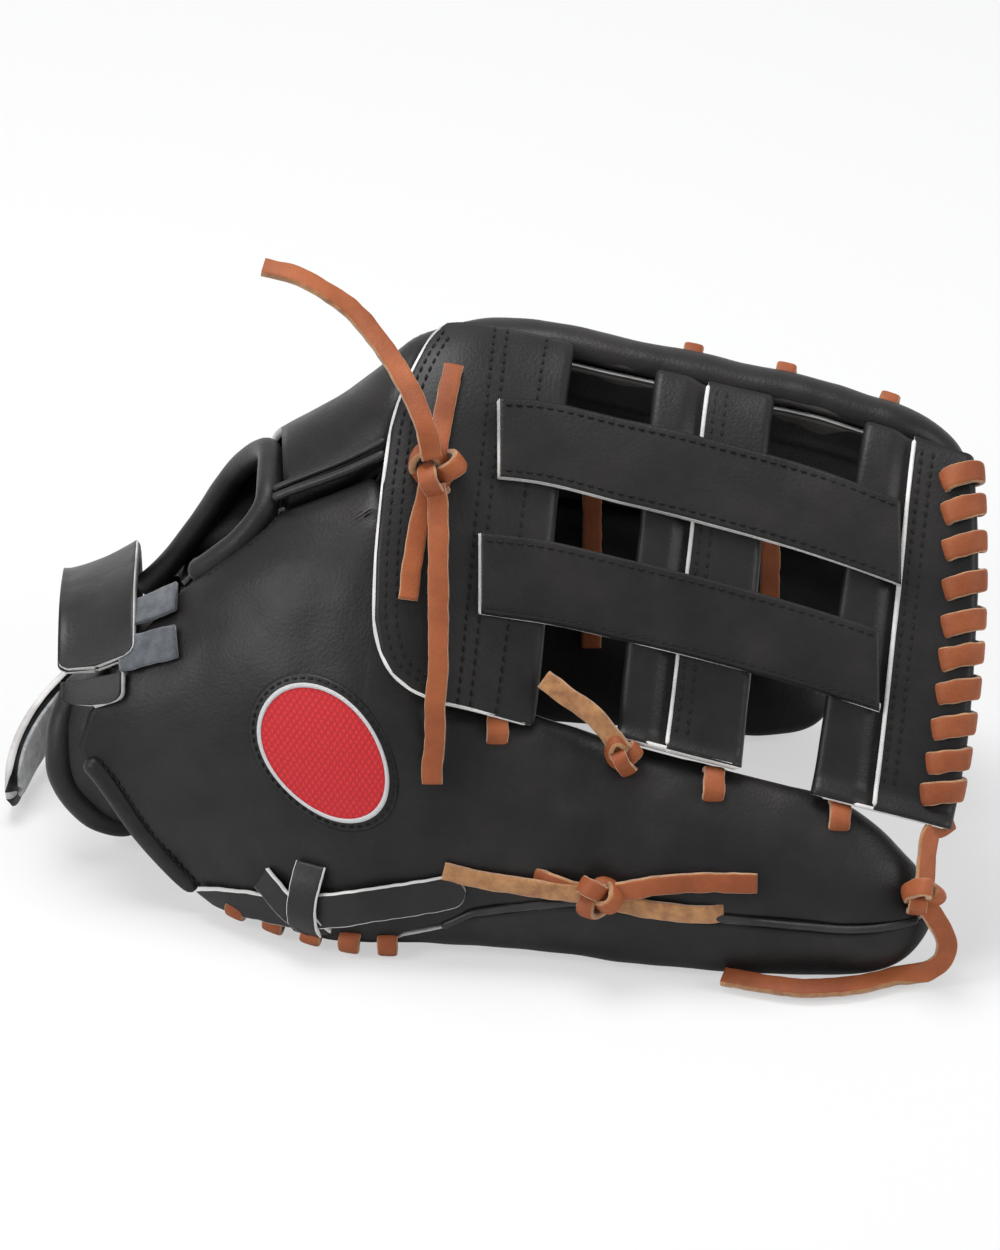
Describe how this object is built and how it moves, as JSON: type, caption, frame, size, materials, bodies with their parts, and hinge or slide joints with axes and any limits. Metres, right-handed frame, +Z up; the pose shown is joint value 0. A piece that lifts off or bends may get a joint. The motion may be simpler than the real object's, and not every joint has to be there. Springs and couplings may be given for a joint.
{
  "type": "baseball fielder's glove",
  "caption": "Baseball glove with four finger stalls, a deep pocket, an H web of crossed straps laced with rawhide, and a wrist strap with a peel-back tab.",
  "frame": {"origin": "centre of the glove's footprint on the ground, where it stands palm down on the edges of its thumb and little finger", "axes": "+X from the heel to the fingertips, -Y to the thumb side, +Y to the little finger side, +Z up"},
  "size_m": [0.3182, 0.201, 0.2042],
  "materials": {
    "shell_leather": "smooth, oiled",
    "web_leather": "smooth with pale raw edges",
    "binding_leather": "rolled and stitched",
    "welt_leather": "smooth",
    "strap_leather": "smooth with pale raw edges",
    "rawhide": "oiled rawhide",
    "lining_leather": "soft, napped",
    "felt": "wool felt",
    "stiffener": "plain",
    "patch_fabric": "woven and embroidered",
    "fleece": "short pile"
  },
  "bodies": {
    "hand": {"palm": "shell_leather", "thumb_heel": "shell_leather", "index_back": "shell_leather", "index_front": "shell_leather", "middle_back": "shell_leather", "middle_front": "shell_leather", "ring_back": "shell_leather", "ring_front": "shell_leather", "pinky_back": "shell_leather", "pinky_front": "shell_leather", "finger_welts": "welt_leather", "pinky_welt": "welt_leather", "opening_binding": "binding_leather", "wrist_cuff": "binding_leather", "heel_pad": "felt", "palm_lining": "lining_leather", "index_lining": "lining_leather", "middle_lining": "lining_leather", "ring_lining": "lining_leather", "pinky_lining": "lining_leather", "pinky_stiffener": "stiffener", "wrist_strap": "strap_leather", "strap_anchor": "strap_leather", "anchor_legs": "felt", "heel_lacing": "rawhide", "finger_lacing": "rawhide", "logo_patch": "patch_fabric", "thumb_loop": "strap_leather", "index_lacing": "rawhide"},
    "thumb_web": {"thumb_back": "shell_leather", "thumb_front": "shell_leather", "thumb_welt": "welt_leather", "thumb_lining": "lining_leather", "thumb_stiffener": "stiffener", "web_base": "web_leather", "web_crossbar": "web_leather", "web_top": "web_leather", "strip_upper": "web_leather", "strip_lower": "web_leather", "web_top_lacing": "rawhide", "thumb_edge_lacing": "rawhide", "thumb_tie": "rawhide", "thumb_loop_tail": "strap_leather", "base_knot": "rawhide", "crossbar_knot": "rawhide", "top_knot": "rawhide", "base_tail_up": "rawhide", "base_tail_down": "rawhide", "top_tail": "rawhide"},
    "strap_tab": {"strap_tab": "strap_leather", "tab_hook": "fleece"}
  },
  "joints": [
    {"name": "pocket_close", "type": "hinge", "parent": "hand", "child": "thumb_web", "pos_m": [-0.0284, 0.0254, 0.15273], "axis": [0.9944, -0.0909, -0.0545], "range_deg": [-6, 12]},
    {"name": "strap_peel", "type": "hinge", "parent": "hand", "child": "strap_tab", "pos_m": [-0.13579, 0.0616, 0.01751], "axis": [0, 0, -1], "range_deg": [0, 45]}
  ]
}
